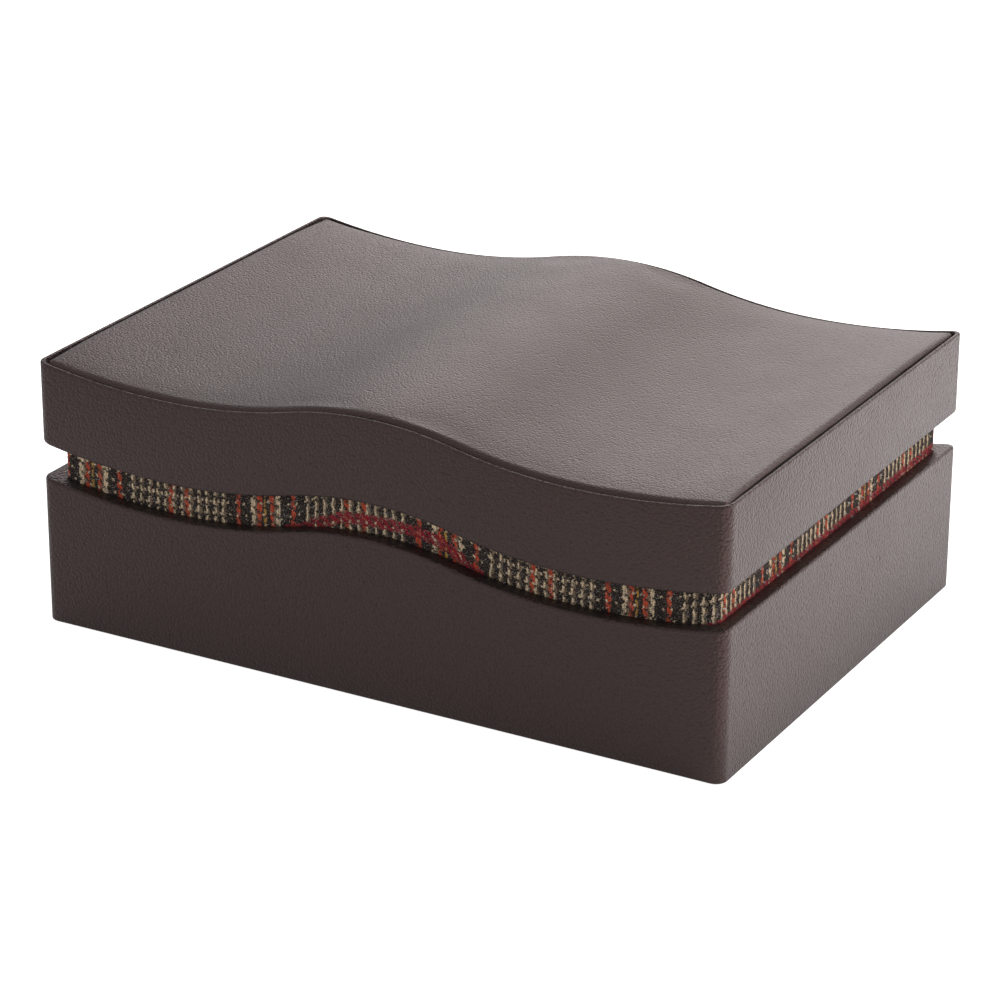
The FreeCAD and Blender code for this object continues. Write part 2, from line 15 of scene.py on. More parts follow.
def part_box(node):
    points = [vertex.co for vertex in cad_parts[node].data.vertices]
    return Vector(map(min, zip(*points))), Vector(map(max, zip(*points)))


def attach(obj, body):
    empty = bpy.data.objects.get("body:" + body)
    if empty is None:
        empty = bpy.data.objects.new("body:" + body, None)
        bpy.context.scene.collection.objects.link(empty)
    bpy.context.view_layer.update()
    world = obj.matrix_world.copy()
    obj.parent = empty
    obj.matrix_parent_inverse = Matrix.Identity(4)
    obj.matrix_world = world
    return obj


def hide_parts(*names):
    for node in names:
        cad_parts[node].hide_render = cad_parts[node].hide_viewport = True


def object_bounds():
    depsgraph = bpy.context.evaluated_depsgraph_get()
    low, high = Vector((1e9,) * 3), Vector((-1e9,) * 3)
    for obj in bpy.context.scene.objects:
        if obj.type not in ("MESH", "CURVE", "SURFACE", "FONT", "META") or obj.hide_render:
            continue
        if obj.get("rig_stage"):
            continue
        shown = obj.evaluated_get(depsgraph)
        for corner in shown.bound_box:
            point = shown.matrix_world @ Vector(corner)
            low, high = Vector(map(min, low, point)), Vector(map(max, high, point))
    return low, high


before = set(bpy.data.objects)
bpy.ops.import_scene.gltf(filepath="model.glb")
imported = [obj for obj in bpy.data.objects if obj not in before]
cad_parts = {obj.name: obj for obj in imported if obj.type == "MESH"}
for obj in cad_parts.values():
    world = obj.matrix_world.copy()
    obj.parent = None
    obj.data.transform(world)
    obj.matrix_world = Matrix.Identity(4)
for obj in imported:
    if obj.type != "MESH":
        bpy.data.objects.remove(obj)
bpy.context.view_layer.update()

# %% [markdown]
# ## The camera
# A small box is best looked at through a long lens from about a metre away, so that upright
# edges stay almost upright. The camera is built from the direction it looks in, its distance
# and a very small tilt, rather than by dragging it about, because then each number can be read
# and changed on its own.

# %% Camera
turn, climb, tilt = math.radians(29.140), math.radians(22.406), math.radians(0.255)
distance, aim = 1.0907, Vector((-0.0016, 0, 0.032305))
focal_pixels, view_pixels, sensor_width = 3708.49, 1000, 36

forward = Vector((-math.sin(turn) * math.cos(climb), math.cos(turn) * math.cos(climb),
                  -math.sin(climb)))
level = Vector((math.cos(turn), math.sin(turn), 0))
upright = level.cross(forward)
across = level * math.cos(tilt) + upright * math.sin(tilt)
upwards = -level * math.sin(tilt) + upright * math.cos(tilt)

lens = bpy.data.cameras.new("long_lens")
lens.sensor_width = sensor_width
lens.lens = focal_pixels / view_pixels * sensor_width
camera = bpy.data.objects.new("camera", lens)
bpy.context.scene.collection.objects.link(camera)
turned = Matrix((across, upwards, -forward)).transposed().to_4x4()
camera.matrix_world = Matrix.Translation(aim - forward * distance) @ turned
bpy.context.scene.camera = camera
print("the lens is %.1f mm" % lens.lens)

# %% [markdown]
# ## Writing finishes as sums
# A procedural finish is a web of small nodes, and a web is hard to read. The class below wraps
# one socket, so that a sum such as `0.5 + grain * 0.2` adds its own Math nodes. Every other
# node comes from one method, which takes the type, the settings and the sockets.

# %% A bench for finishes
class Wire:
    """One socket of a finish, which can be used in a sum."""

    def __init__(self, bench, socket):
        self.bench = bench
        self.socket = socket

    def sum(self, operation, *others):
        sockets = dict(enumerate((self,) + others))
        return self.bench.node("ShaderNodeMath", {"operation": operation}, sockets)

    def clamped(self):
        """Held between 0 and 1."""
        return self.sum("MAXIMUM", 0.0).sum("MINIMUM", 1.0)

    def __add__(self, other):
        return self.sum("ADD", other)

    def __mul__(self, other):
        return self.sum("MULTIPLY", other)

    def __sub__(self, other):
        return self.sum("SUBTRACT", other)

    def __rsub__(self, other):
        return self.bench.node("ShaderNodeMath", {"operation": "SUBTRACT"}, {0: other, 1: self})

    def __mod__(self, other):
        return self.sum("FLOORED_MODULO", other)

    def __lt__(self, other):
        return self.sum("LESS_THAN", other)

    def __gt__(self, other):
        return self.sum("GREATER_THAN", other)

    __radd__ = __add__
    __rmul__ = __mul__


class Bench:
    """One finish while it is being made."""

    def __init__(self, name, **constants):
        self.finish = bpy.data.materials.new(name)
        self.finish.use_nodes = True
        self.tree = self.finish.node_tree
        self.shader = self.tree.nodes["Principled BSDF"]
        for socket, value in constants.items():
            self.shader.inputs[socket.replace("_", " ")].default_value = value

    def node(self, kind, settings=None, sockets=None, out=0):
        made = self.tree.nodes.new(kind)
        for setting, value in (settings or {}).items():
            if setting == "stops":
                while len(made.color_ramp.elements) < len(value):
                    made.color_ramp.elements.new(1)
                for stop, (place, colour) in zip(made.color_ramp.elements, value):
                    stop.position = place
                    stop.color = (*colour, 1)
            else:
                setattr(made, setting, value)
        for socket, value in (sockets or {}).items():
            if isinstance(value, Wire):
                self.tree.links.new(value.socket, made.inputs[socket])
            else:
                made.inputs[socket].default_value = value
        return Wire(self, made.outputs[out])

    def place(self):
        return self.node("ShaderNodeTexCoord", out="Object")

    def stretched(self, place, x, y, z):
        return self.node("ShaderNodeMapping", None, {"Vector": place, "Scale": (x, y, z)})

    def parts(self, vector):
        split = self.node("ShaderNodeSeparateXYZ", None, {0: vector})
        outputs = split.socket.node.outputs
        return [Wire(self, outputs[axis]) for axis in "XYZ"]

    def noise(self, place, scale, detail=2.0, roughness=0.5, out=0):
        sockets = {"Vector": place, "Scale": scale, "Detail": detail, "Roughness": roughness}
        return self.node("ShaderNodeTexNoise", None, sockets, out)

    def blend(self, factor, first, second):
        """One colour turned into another."""
        first, second = (colour if isinstance(colour, Wire) else (*colour, 1)
                         for colour in (first, second))
        sockets = {0: factor, 6: first, 7: second}
        return self.node("ShaderNodeMix", {"data_type": "RGBA"}, sockets, out=2)

    def ramp(self, factor, low, high):
        """0 below low, 1 above high, smooth between."""
        sockets = {"Value": factor, "From Min": low, "From Max": high}
        return self.node("ShaderNodeMapRange", {"interpolation_type": "SMOOTHSTEP"}, sockets)

    def bump(self, height, depth):
        """The height as a bump, depth metres deep where it is 1."""
        sockets = {"Height": height, "Distance": depth, "Strength": 1.0}
        return self.node("ShaderNodeBump", None, sockets)

    def put(self, socket, wire):
        self.tree.links.new(wire.socket, self.shader.inputs[socket])

    def done(self):
        print("finish", self.finish.name, "has", len(self.tree.nodes), "nodes")
        return self.finish


# %% [markdown]
# ## Pebbled leather
# The box is covered in thin calf leather with a printed grain of small rounded pebbles, a
# little under a millimetre across, parted by soft creases. A smooth Voronoi texture measures
# how far each point is from the middle of its pebble, and one minus its square is a dome.
# Bending its place with noise first takes away the straight creases that make such cells look
# like crystals. The panel of the lid is stretched over foam, so its grain is finer and flatter.

# %% Leather
def pebbled_leather(name, pebbles, relief):
    bench = Bench(name, Specular_IOR_Level=0.5, Specular_Tint=(1.0, 0.62, 0.58, 1))
    place = bench.place()
    wander = bench.noise(place, 480.0, 1.0, out="Color")
    wander = bench.node("ShaderNodeVectorMath", {"operation": "SUBTRACT"},
                        {0: wander, 1: (0.5, 0.5, 0.5)})
    wander = bench.node("ShaderNodeVectorMath", {"operation": "SCALE"},
                        {0: wander, "Scale": 0.0006})
    bent = bench.node("ShaderNodeVectorMath", {"operation": "ADD"}, {0: place, 1: wander})
    cells = {"Vector": bent, "Scale": pebbles, "Smoothness": 0.35}
    to_middle = bench.node("ShaderNodeTexVoronoi", {"feature": "SMOOTH_F1"}, cells, "Distance")
    pebble = 1.0 - to_middle * to_middle * 2.4
    fine = bench.noise(place, 3200.0, 2.0)
    broad = bench.noise(place, 60.0, 3.0)
    # The colour is darker in the creases between the pebbles: painted shade in the hollows of the
    # grain, mixed with a broad random tone.
    shaded_crease_brown, pebble_brown = (0.011, 0.0098, 0.0095), (0.019, 0.0172, 0.0167)
    bench.put("Normal", bench.bump(pebble + fine * 0.12, relief))
    bench.put("Base Color", bench.blend(pebble * 0.7 + broad * 0.3, shaded_crease_brown, pebble_brown))
    bench.put("Roughness", 0.31 + fine * 0.08 + broad * 0.08)
    return bench.done()


leather = pebbled_leather("leather_finish", 1250.0, 0.00012)
panel_leather = pebbled_leather("panel_leather_finish", 1600.0, 0.00006)

# %% [markdown]
# ## Tweed
# The neck carries a woollen check. A check is made by the order of its yarns and not by
# painting squares: the upright warp runs dark, with pairs of cream and fawn yarns, stripes of
# rust and a block with mustard in it, and the level weft has its own order with one crimson
# band. The warp goes over three wefts and under one, a step further in each row, so its
# colours stand as broken upright stripes. In the crimson band it is the weft that lies on top.
# So the finish counts yarns: a map says which warp and which weft yarn a point lies on, and
# the weave says which of the two is seen.

# %% Tweed finish
def woven_tweed():
    bench = Bench("tweed_finish", Specular_IOR_Level=0.15, Sheen_Weight=0.05,
                  Sheen_Roughness=0.5)
    place = bench.place()

    # The hairy edges of the yarns and their wandering are two noises in the count.
    u, v = bench.parts(bench.node("ShaderNodeUVMap", {"uv_map": "yarns"}))[:2]
    for scale, detail, yarns_moved in ((2600.0, 2.0, 2.3), (420.0, 1.0, 2.0)):
        shift_u, shift_v = bench.parts(bench.noise(place, scale, detail, out="Color"))[:2]
        u = u + (shift_u - 0.5) * yarns_moved
        v = v + (shift_v - 0.5) * yarns_moved
    warp, weft = u.sum("FLOOR"), v.sum("FLOOR")
    across_warp, across_weft = u - warp, v - weft

    def in_groups(yarn, *groups):
        """1 on the yarns from the first to the last of any group, and 0 on the others."""
        return sum((yarn > first - 0.5) * (yarn < last + 0.5) for first, last in groups)

    number = warp % 84.0
    in_pairs, of_four = in_groups(number, (7, 52)), (number - 7.0) % 4.0
    fawn = in_pairs * (of_four > 0.5) * (of_four < 1.5) + in_groups(number, (67, 67), (76, 76))
    cream = in_pairs * (of_four < 0.5) + in_groups(number, (65, 66), (77, 78))
    rust = in_groups(number, (0, 1), (25, 26), (33, 34), (58, 59), (68, 69), (74, 75))
    mustard = in_groups(number, (71, 71))
    crimson = in_groups(weft, (-4, 0))
    cream_weft = in_groups(weft, (4, 60), (-60, -9)) * ((weft - 4.0) % 5.0 < 0.5)

    step = (warp + weft) % 4.0
    warp_on_top = step < 2.5 - crimson * 2.0

    def on_top(of_warp, of_weft):
        return warp_on_top * of_warp + (1.0 - warp_on_top) * of_weft

    dyes = [(0.017, 0.0125, 0.0125), (0.24, 0.17, 0.11), (0.90, 0.70, 0.47),
            (0.62, 0.080, 0.032), (0.60, 0.32, 0.06), (0.36, 0.006, 0.024)]
    dye = on_top(fawn + cream * 2.0 + rust * 3.0 + mustard * 4.0, cream_weft * 2.0 + crimson * 5.0)
    stops = [(0.15 * index, colour) for index, colour in enumerate(dyes)]
    dyed = bench.node("ShaderNodeValToRGB", {"stops": stops}, {"Fac": dye * 0.15 + 0.075})
    dyed.socket.node.color_ramp.interpolation = "CONSTANT"

    def round_yarn(across_yarn):
        return 1.0 - (across_yarn * 2.0 - 1.0).sum("POWER", 2.0)

    warp_rise = ((step + across_weft) * (math.pi / 3)).sum("SINE")
    weft_rise = (across_warp * math.pi).sum("SINE")
    height = on_top(round_yarn(across_warp) * 0.55 + warp_rise * 0.45,
                    round_yarn(across_weft) * 0.55 + weft_rise * 0.45)

    heather = bench.noise(place, 2100.0, 3.0, 0.75)
    strand = bench.noise(place, 5200.0, 2.0, 0.7)
    fleck = ((bench.noise(place, 2700.0, 2.0, 0.6) - 0.51) * 9.0).clamped()
    # This very dark colour is painted shade between the yarns and at their edges, with real light
    # fibre flecks and the dark heather in it.
    gap_shade_and_flecks = bench.blend(fleck, (0.010, 0.007, 0.007), (0.42, 0.31, 0.22))
    # The dye shows most on the high middle of each yarn: painted light by yarn height, mixed with
    # the random tone of the heather.
    shown = ((0.10 + height * 0.95) * (heather * 2.8 + strand * 1.2 - 1.0)).clamped()
    bench.put("Base Color", bench.blend(shown, gap_shade_and_flecks, dyed))
    bench.put("Roughness", 0.80 + strand * 0.15)
    bench.put("Normal", bench.bump(height + strand * 0.5, 0.00035))
    return bench.done()


tweed = woven_tweed()

# %% [markdown]
# ## Suede, felt, board, tape and brass
# Suede cloth is short nap: it scatters light, brightens where the fibres stand up and shows
# stroked patches. Felt is coarser and darker. The boards are raw fibreboard with a speckle of
# fibres, the drawer slides on smooth tape, and the hinges are brushed brass.

# %% The other finishes
def napped(name, light, dark, scale, depth, sheen):
    bench = Bench(name, Sheen_Weight=sheen, Sheen_Roughness=0.45, Specular_IOR_Level=0.2)
    place = bench.place()
    nap = bench.noise(place, scale, 4.0, 0.7)
    stroked = bench.noise(place, 55.0, 3.0)
    bench.put("Base Color", bench.blend(nap * 0.6 + stroked * 0.4, dark, light))
    bench.put("Roughness", 0.82 + nap * 0.15)
    bench.put("Normal", bench.bump(nap, depth))
    return bench.done()


def raw_board():
    bench = Bench("board_finish", Specular_IOR_Level=0.25)
    place = bench.place()
    fibre = bench.noise(bench.stretched(place, 1.0, 1.0, 3.0), 900.0, 5.0, 0.65)
    cloud = bench.noise(place, 40.0, 2.0)
    dark, light = (0.17, 0.115, 0.075), (0.40, 0.30, 0.20)
    bench.put("Base Color", bench.blend(fibre * 0.7 + cloud * 0.3, dark, light))
    bench.put("Roughness", 0.75 + fibre * 0.2)
    bench.put("Normal", bench.bump(fibre, 0.00008))
    return bench.done()


def smooth_tape():
    bench = Bench("slip_strip_finish", Specular_IOR_Level=0.4)
    streak = bench.noise(bench.stretched(bench.place(), 0.05, 1.0, 1.0), 1500.0, 2.0)
    bench.put("Base Color", bench.blend(streak, (0.66, 0.64, 0.60), (0.78, 0.76, 0.73)))
    bench.put("Roughness", 0.28 + streak * 0.14)
    return bench.done()


def brushed_brass():
    bench = Bench("brass_finish", Metallic=1.0)
    place = bench.place()
    streak = bench.noise(bench.stretched(place, 0.04, 1.0, 1.0), 4000.0, 2.0)
    tarnish = bench.noise(place, 240.0, 4.0, 0.6)
    clean, tarnished = (0.80, 0.60, 0.30), (0.62, 0.44, 0.20)
    bench.put("Base Color", bench.blend(bench.ramp(tarnish, 0.35, 0.75), clean, tarnished))
    bench.put("Roughness", 0.18 + streak * 0.12 + tarnish * 0.10)
    bench.put("Normal", bench.bump(streak, 0.00001))
    return bench.done()


suede = napped("suede_finish", (0.46, 0.355, 0.255), (0.30, 0.22, 0.15), 2600.0, 0.00012, 0.25)
felt = napped("felt_finish", (0.045, 0.040, 0.038), (0.018, 0.016, 0.015), 1500.0, 0.0003, 0.15)
brass = brushed_brass()
finishes = {
    "leather": leather, "panel_leather": panel_leather, "tweed": tweed, "suede": suede,
    "felt": felt, "board": raw_board(), "slip_strip": smooth_tape(), "brass": brass,
}

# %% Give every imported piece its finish
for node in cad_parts.values():
    for holder in node.material_slots:
        holder.material = finishes[holder.material.name.split(".")[0]]
print("dressed", len(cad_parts), "packed pieces")

# %% [markdown]
# ## The table and the light
# The box stands on a pale sweep. Dark leather shows mostly what it mirrors, so the light is
# plain and wide: a large soft lamp high on the right, a second one behind that the top
# mirrors, and pale surroundings that fill the shadows. The right end mirrors the table beside
# it, so past that end the table gives reflections more light. Light Path keeps that, and the
# table's own pale look, away from the light that falls on the box.

# %% Table
table_pale, mirrored, mirrored_right = 0.80, 0.18, 1.25
bpy.ops.object.select_all(action="DESELECT")
bpy.ops.mesh.primitive_plane_add(size=8, location=(0, 0, 0))
table = bpy.context.object
table.name = "table"
bench = Bench("pale_table", Base_Color=(table_pale, table_pale, table_pale, 1), Roughness=1.0,
              Specular_IOR_Level=0.0, Emission_Strength=1.0)
seen = bench.node("ShaderNodeLightPath", out="Is Camera Ray")
glossy = bench.node("ShaderNodeLightPath", out="Is Glossy Ray")
along = bench.parts(bench.place())[0]
right_side = ((along - 0.10) * 20.0).clamped()
glow = seen * table_pale + glossy * (mirrored + right_side * mirrored_right)
bench.put("Emission Color", glow)
table.data.materials.append(bench.done())
table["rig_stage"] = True

# %% Surroundings and lamps
world = bpy.data.worlds.new("pale_surroundings")
world.use_nodes = True
bpy.context.scene.world = world
sky = world.node_tree
path = sky.nodes.new("ShaderNodeLightPath")
strength = sky.nodes.new("ShaderNodeMapRange")
strength.inputs["To Min"].default_value = 0.75
strength.inputs["To Max"].default_value = 1.0
sky.links.new(path.outputs["Is Camera Ray"], strength.inputs["Value"])
sky.links.new(strength.outputs[0], sky.nodes["Background"].inputs["Strength"])
sky.nodes["Background"].inputs["Color"].default_value = (1, 1, 1, 1)


def soft_lamp(name, spot, size, watts):
    lamp = bpy.data.lights.new(name, "AREA")
    lamp.shape, lamp.size, lamp.energy = "SQUARE", size, watts
    lamp.color = (1.0, 0.93, 0.91)
    stand = bpy.data.objects.new(name, lamp)
    bpy.context.scene.collection.objects.link(stand)
    stand.location = spot
    towards_box = Vector((0, 0, 0.04)) - Vector(spot)
    stand.rotation_euler = towards_box.to_track_quat("-Z", "Y").to_euler()


soft_lamp("key_lamp", (1.00, 0.45, 0.85), 1.4, 16.0)
soft_lamp("back_lamp", (-0.38, 1.50, 0.68), 1.2, 7.6)
bpy.context.scene.view_settings.view_transform = "Standard"
print("lamps and table are set")

# %% [markdown]
# ## The box's own sizes
# Four numbers give the wave that the lid, the gap and the rim share: arcs run from a low
# crest in the middle into a trough on each side and up again to the ends. Every piece that
# follows the wave is first modelled level, as a workshop would cut it from flat stock, and is
# then lifted by this one function, so that all the edges stay parallel.

# %% Sizes and the wave
half_length, half_width, corner = 0.110, 0.078, 0.003
lip_low, lid_wall, deck_top, skin = 0.0766, 0.025, 0.0335, 0.0008
rim_low, lid_edge_low, neck_low = lip_low - 0.0355, lip_low - lid_wall, lip_low - 0.0195
neck_inset, neck_corner, lining_inset = 0.005, 0.0022, 0.0096
wave_depth, trough_x, crest_radius, end_radius = 0.0075, 0.065, 0.115, 0.230
arc_sum = (trough_x ** 2 + wave_depth ** 2) / (2 * wave_depth)
trough_radius = arc_sum - crest_radius
turn_x = trough_x * crest_radius / arc_sum


def wave(x):
    """How far the wave stands above its lowest place."""
    x = abs(x)
    if x < turn_x:
        return wave_depth - crest_radius + math.sqrt(crest_radius ** 2 - x ** 2)
    radius = trough_radius if x < trough_x else end_radius
    return radius - math.sqrt(radius ** 2 - (x - trough_x) ** 2)


print("the wave is %.1f mm high in the middle and %.1f mm at the ends"
      % (1000 * wave(0), 1000 * wave(half_length)))

# %% [markdown]
# ## Working in edit mode from code
# An operator acts on everything that is selected, so each step first says what it takes: the
# helper `choose` selects the corners, edges or faces that pass a test and lets go of the rest.
# The tests are written with the place or the direction of a face, as a hand would pick them.
# The other helpers are the few steps that most pieces share.

# %% Picking up and choosing
def put_down():
    if bpy.context.object and bpy.context.object.mode != "OBJECT":
        bpy.ops.object.mode_set(mode="OBJECT")
    bpy.ops.object.select_all(action="DESELECT")


def pick_up(piece):
    put_down()
    piece.select_set(True)
    bpy.context.view_layer.objects.active = piece


def open_up(piece):
    """Goes into edit mode with one piece."""
    pick_up(piece)
    bpy.ops.object.mode_set(mode="EDIT")


def take_up(name, size=(1, 1, 1)):
    """Names the primitive that was just added and stretches it to its size."""
    piece = bpy.context.object
    piece.name = piece.data.name = name
    piece.scale = size
    bpy.ops.object.transform_apply(location=True, rotation=True, scale=True)
    return piece


def choose(piece, kind, test):
    """Selects the corners ("VERT"), edges ("EDGE") or faces ("FACE") that pass a test."""
    bpy.ops.mesh.select_mode(type=kind)
    bpy.ops.mesh.select_all(action="DESELECT")
    mesh = bmesh.from_edit_mesh(piece.data)
    for part in {"VERT": mesh.verts, "EDGE": mesh.edges, "FACE": mesh.faces}[kind]:
        if test(part):
            part.select_set(True)
    bmesh.update_edit_mesh(piece.data)


def middle(part):
    """The middle of an edge or a face."""
    return sum((corner.co for corner in part.verts), Vector()) / len(part.verts)


def is_fold(edge):
    """Whether a level face meets an upright one at the edge."""
    return len({abs(face.normal.z) > 0.7 for face in edge.link_faces}) == 2


def is_outer(edge):
    """Whether the edge lies on the outside of the box."""
    return all(max(abs(v.co.x) - half_length, abs(v.co.y) - half_width) > -0.0010
               for v in edge.verts)


print("helpers for choosing are ready")


# %% Steps that most pieces share
def extrude(step=(0, 0, 0), sides=None):
    """Pulls new faces out of the selected edges: by a step, or in or out from the middle."""
    bpy.ops.mesh.extrude_region_move(TRANSFORM_OT_translate={"value": step})
    if sides:
        bpy.ops.transform.resize(value=(*sides, 1), center_override=(0, 0, 0))


def point_outwards():
    bpy.ops.mesh.select_all(action="SELECT")
    bpy.ops.mesh.normals_make_consistent(inside=False)


def round_corners(piece, radius, segments):
    """Rounds the four corners of a flat grid."""
    choose(piece, "VERT", lambda v: len(v.link_edges) == 2)
    bpy.ops.mesh.bevel(offset=radius, segments=segments, affect="VERTICES")


def round_folds(piece, level, offset, segments, test=lambda edge: True):
    """Bevels the folds that run along the wave, at one level above its lowest place."""
    choose(piece, "EDGE", lambda edge: is_fold(edge) and test(edge) and all(
        abs(v.co.z - level - wave(v.co.x)) < 1e-5 for v in edge.verts))
    bpy.ops.mesh.bevel(offset=offset, segments=segments)


def apply_all(piece):
    pick_up(piece)
    for modifier in list(piece.modifiers):
        bpy.ops.object.modifier_apply(modifier=modifier.name)


def thicken(piece, thickness=skin):
    """Gives a skin its thickness, away from the side it shows."""
    put_down()
    thick = piece.modifiers.new("thickness", "SOLIDIFY")
    thick.thickness, thick.offset = thickness, -1
    apply_all(piece)


def cut_away(piece, tool):
    """Cuts the shape of a tool out of a piece and puts the tool away."""
    cut = piece.modifiers.new("cut", "BOOLEAN")
    cut.object, cut.operation, cut.solver = tool, "DIFFERENCE", "EXACT"
    apply_all(piece)
    bpy.data.objects.remove(tool)


def smooth_out(piece):
    finer = piece.modifiers.new("smooth", "SUBSURF")
    finer.levels = finer.render_levels = 1
    apply_all(piece)


def push_up(piece, name, share, reach):
    """Moves each corner up by its share of a reach, with weights and a Displace modifier."""
    put_down()
    group = piece.vertex_groups.new(name=name)
    for point in piece.data.vertices:
        group.add([point.index], share(point.co), "REPLACE")
    lift = piece.modifiers.new(name, "DISPLACE")
    lift.direction, lift.mid_level, lift.strength = "Z", 0.0, reach
    lift.vertex_group = name
    apply_all(piece)


def lift_to_wave(piece, above=-1.0):
    """Lifts all that lies above a level by the wave."""
    push_up(piece, "wave", lambda spot: wave(spot.x) / wave_depth if spot.z > above else 0.0,
            wave_depth)


print("helpers for shaping are ready")


# %% Handing a finished piece over
def own_box(piece):
    return [Vector([end(place[axis] for place in piece.bound_box) for axis in range(3)])
            for end in (min, max)]


def hand_over(piece, finish, slot, body, *stands_for, smooth=35):
    """Finish, smooth shading and body of a finished piece. The slot argument is not used."""
    pick_up(piece)
    bpy.ops.object.shade_smooth_by_angle(angle=math.radians(smooth))
    piece.data.materials.clear()
    piece.data.materials.append(finish)
    for group in list(piece.vertex_groups):
        piece.vertex_groups.remove(group)
    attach(piece, body)
    if stands_for:
        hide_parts(*stands_for)
    low, high = (1000 * end for end in own_box(piece))
    print("%s: %d faces, x %.1f..%.1f y %.1f..%.1f z %.1f..%.1f mm" % (
        piece.name, len(piece.data.polygons), low.x, high.x, low.y, high.y, low.z, high.z))
    put_down()


print("pieces can be handed over")

# %% [markdown]
# ## The plan of the box
# Nearly every cover starts from the same line: the box's plan, moved in, with its upright
# corners rounded. It is a plane with bevelled corners, whose long sides get a point every few
# millimetres for the wave, and of which only the outline is kept. Pulling that outline up and
# down and in gives the walls.

# %% The outline
pitch = 0.0025


def outline(name, inset, height, radius=corner):
    put_down()
    bpy.ops.mesh.primitive_plane_add(size=1, location=(0, 0, height))
    piece = take_up(name, (2 * (half_length - inset), 2 * (half_width - inset), 1))
    bpy.ops.object.mode_set(mode="EDIT")
    bpy.ops.mesh.select_all(action="SELECT")
    bpy.ops.mesh.bevel(offset=radius, segments=6, affect="VERTICES")
    choose(piece, "FACE", lambda face: True)
    bpy.ops.mesh.delete(type="ONLY_FACE")
    choose(piece, "EDGE",
           lambda edge: abs(edge.verts[0].co.x - edge.verts[1].co.x) > half_length)
    bpy.ops.mesh.subdivide(number_cuts=round(2 * half_length / pitch) - 1)
    choose(piece, "EDGE", lambda edge: True)
    return piece


def to_inset(before, after):
    """The stretch that takes an outline from one inset to another."""
    return ((half_length - after) / (half_length - before),
            (half_width - after) / (half_width - before))


print("the plan gets a point every %.1f mm" % (1000 * pitch))

# %% [markdown]
# ## The leather of the base
# One piece of leather is pasted round the four walls. It is turned under the foot, over the
# wavy rim and down inside, and at the left end into the mouth of the drawer. So the outline is
# pulled along that same path: out from under the foot, up, in over the rim, and down. The rim
# is bevelled to the roundness that leather has where it bends over board, the mouth is cut out
# of the left end, and Solidify gives the whole its thickness of 0.8 mm.

# %% Base leather
def cover_base():
    foot, turned_under, turned_in, inner_end = 0.0002, 0.012, 0.005, 0.0345
    piece = outline("base_leather", turned_under, foot)
    extrude(sides=to_inset(turned_under, 0.0))
    extrude((0, 0, rim_low - foot))
    extrude(sides=to_inset(0.0, turned_in))
    extrude((0, 0, inner_end - rim_low))

    mouth, floor, roof, mouth_depth = half_width - 0.005, 0.004, 0.0297, 0.012
    for place, way in (((0, -mouth, 0), (0, 1, 0)), ((0, mouth, 0), (0, 1, 0)),
                       ((0, 0, floor), (0, 0, 1)), ((0, 0, roof), (0, 0, 1))):
        choose(piece, "FACE", lambda face: abs(middle(face).x + half_length) < 1e-4)
        bpy.ops.mesh.bisect(plane_co=place, plane_no=way)

    def in_mouth(part):
        spot = middle(part)
        return (abs(spot.x + half_length) < 1e-4 and abs(spot.y) < mouth + 1e-5
                and floor - 1e-5 < spot.z < roof + 1e-5)

    choose(piece, "FACE", lambda face: in_mouth(face) and abs(middle(face).y) < mouth - 0.0001)
    bpy.ops.mesh.delete(type="FACE")
    choose(piece, "EDGE", lambda edge: edge.is_boundary and in_mouth(edge))
    extrude((mouth_depth, 0, 0))
    bpy.ops.mesh.select_all(action="SELECT")
    bpy.ops.mesh.remove_doubles(threshold=1e-6)
    point_outwards()
    lift_to_wave(piece, above=rim_low - 0.001)

    open_up(piece)
    round_folds(piece, rim_low, 0.0010, 4, is_outer)
    choose(piece, "EDGE", lambda edge: is_fold(edge)
           and all(abs(v.co.z - foot) < 1e-6 for v in edge.verts))
    bpy.ops.mesh.bevel(offset=0.0005, segments=3)
    round_folds(piece, rim_low, 0.0005, 2)
    choose(piece, "EDGE", lambda edge: in_mouth(edge)
           and len({face.normal.x < -0.7 for face in edge.link_faces}) == 2)
    bpy.ops.mesh.bevel(offset=0.0004, segments=2)
    thicken(piece)
    hand_over(piece, leather, "leather", "base", "base_leather_wrap")


cover_base()

# %% [markdown]
# ## The leather of the lid
# The lid's leather starts under the top panel, forms the narrow groove, is folded to a thin
# standing lip, runs down the walls and is turned in at the lower edge. The lip is bevelled on
# both sides, which leaves the fine bright line that a folded edge of leather shows. Where it
# would cover the hinge leaves it is cut away, as the knife does it.

# %% Lid leather
def cover_lid():
    tucked, groove, lip, turned_in, inner_wall = 0.006, 0.0015, 0.0011, 0.004, 0.0058
    piece = outline("lid_leather", tucked, lip_low - groove)
    extrude(sides=to_inset(tucked, lip))
    extrude((0, 0, groove))
    extrude(sides=to_inset(lip, 0.0))
    extrude((0, 0, -lid_wall))
    extrude(sides=to_inset(0.0, turned_in))
    extrude((0, 0, inner_wall))
    point_outwards()
    lift_to_wave(piece)
    open_up(piece)
    round_folds(piece, lip_low, 0.0007, 4, is_outer)
    round_folds(piece, lip_low, 0.0002, 2, lambda edge: not is_outer(edge))
    round_folds(piece, lid_edge_low, 0.0010, 3, is_outer)
    round_folds(piece, lid_edge_low, 0.0005, 2)
    thicken(piece)
    return piece


def let_in(piece, node):
    """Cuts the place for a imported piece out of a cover, with a block a little larger than it."""
    slack = 0.0001
    low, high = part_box(node)
    put_down()
    bpy.ops.mesh.primitive_cube_add(size=1, location=(low + high) / 2)
    cut_away(piece, take_up("block", high - low + Vector((2 * slack,) * 3)))


lid_leather = cover_lid()
for side in ("left", "right"):
    let_in(lid_leather, "lid_hinge_leaf_" + side)
hand_over(lid_leather, leather, "leather", "lid", "lid_side_wrap")

